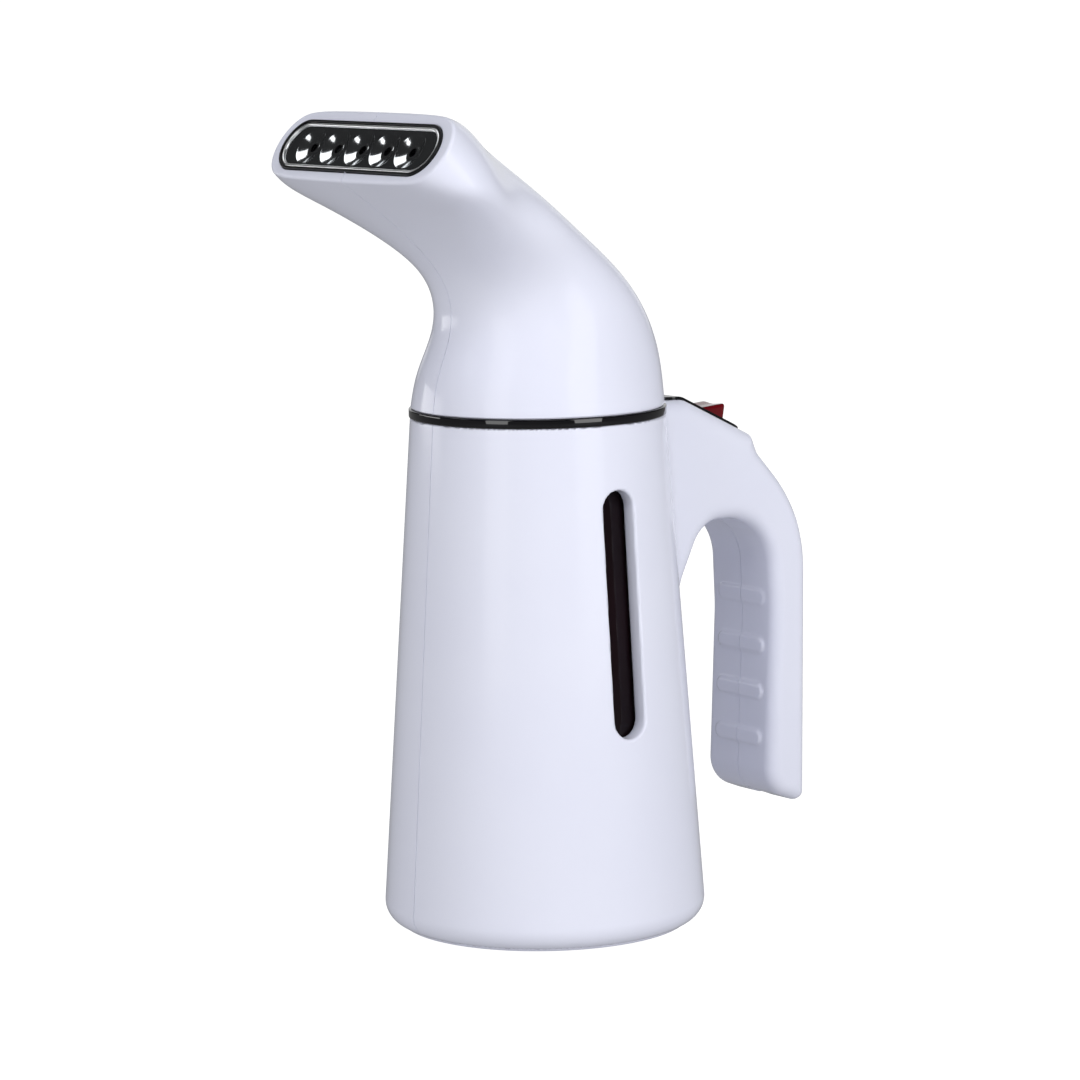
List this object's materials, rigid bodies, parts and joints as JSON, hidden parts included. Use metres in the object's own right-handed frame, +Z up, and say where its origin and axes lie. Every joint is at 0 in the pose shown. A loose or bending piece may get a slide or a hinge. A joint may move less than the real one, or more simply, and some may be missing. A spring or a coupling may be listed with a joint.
{
  "type": "garment steamer",
  "caption": "Handheld garment steamer: tapered water body on a flat base, twist-off swan-neck steam head with a slotted oval nozzle, open hanging handle and thumb rocker.",
  "frame": {"origin": "middle of the underside, on the surface it stands on", "axes": "+Z up, nozzle towards -Y, handle towards +Y, X = 0 is the mirror plane"},
  "size_m": [0.0988, 0.1634, 0.2508],
  "materials": {
    "shell_white": "gloss white moulding, faint mould marks",
    "black_gloss": "gloss black moulding",
    "black_matte": "satin black moulding",
    "grey_plastic": "plain inner moulding",
    "rubber_black": "soft black seal",
    "silicone": "translucent silicone",
    "smoked_plastic": "dark smoked clear moulding",
    "plate_chrome": "dark mirror plating",
    "rocker_red": "dark red clear moulding",
    "steel": "zinc plated",
    "aluminium_cast": "as cast",
    "copper_brass": "stamped",
    "lamp_glass": "clear lamp glass",
    "lead_brown": "soft insulation",
    "lead_blue": "soft insulation"
  },
  "bodies": {
    "body": {"collar_ring": "black_gloss", "tank_seal": "rubber_black", "switch_panel": "black_gloss", "switch_housing": "black_matte", "rocker_pin": "steel", "switch_terminals": "copper_brass", "neon_lamp": "lamp_glass", "water_tank": "smoked_plastic", "chamber_seal": "silicone", "heater_chamber": "aluminium_cast", "chamber_cover": "aluminium_cast", "cover_screws": "steel", "steam_pipe": "steel", "heating_element": "steel", "thermostat": "steel", "thermal_fuse": "steel", "base_cover": "shell_white", "base_screws": "steel", "shell_screws": "steel", "cord_gland": "black_matte", "terminal_block": "grey_plastic", "live_lead": "lead_brown", "neutral_lead": "lead_blue", "heater_lead": "lead_brown", "body_shell_left": "shell_white", "body_shell_right": "shell_white"},
    "neck_seal": {"neck_o_ring": "rubber_black"},
    "head": {"head_shell_left": "shell_white", "head_shell_right": "shell_white", "head_collar": "black_gloss", "head_screws": "steel", "steam_duct": "grey_plastic", "duct_seal": "silicone", "inlet_seal": "silicone", "nozzle_gasket": "black_matte", "nozzle_plate": "plate_chrome"},
    "rocker": {"switch_rocker": "rocker_red", "spring_plunger": "steel"},
    "blade": {"contact_blade": "copper_brass"}
  },
  "joints": [
    {"name": "head_twist", "type": "hinge", "parent": "body", "child": "neck_seal", "pos_m": [0, 0, 0.1597], "axis": [0, 0, 1], "range_deg": [0, 90]},
    {"name": "head_rise", "type": "slide", "parent": "neck_seal", "child": "head", "axis": [0, 0, 1], "range_m": [0, 0.015]},
    {"name": "rocker_tilt", "type": "hinge", "parent": "body", "child": "rocker", "pos_m": [0, 0.05663, 0.15204], "axis": [-1, 0, 0], "range_deg": [0, 20]},
    {"name": "blade_tilt", "type": "hinge", "parent": "body", "child": "blade", "pos_m": [0, 0.05234, 0.14323], "axis": [-1, 0, 0], "range_deg": [-12, 0]}
  ],
  "couplings": [
    {"joint": "head_rise", "follows": "head_twist", "m_per_rad": 0.0095493},
    {"joint": "blade_tilt", "follows": "rocker_tilt", "ratio": -0.6}
  ]
}
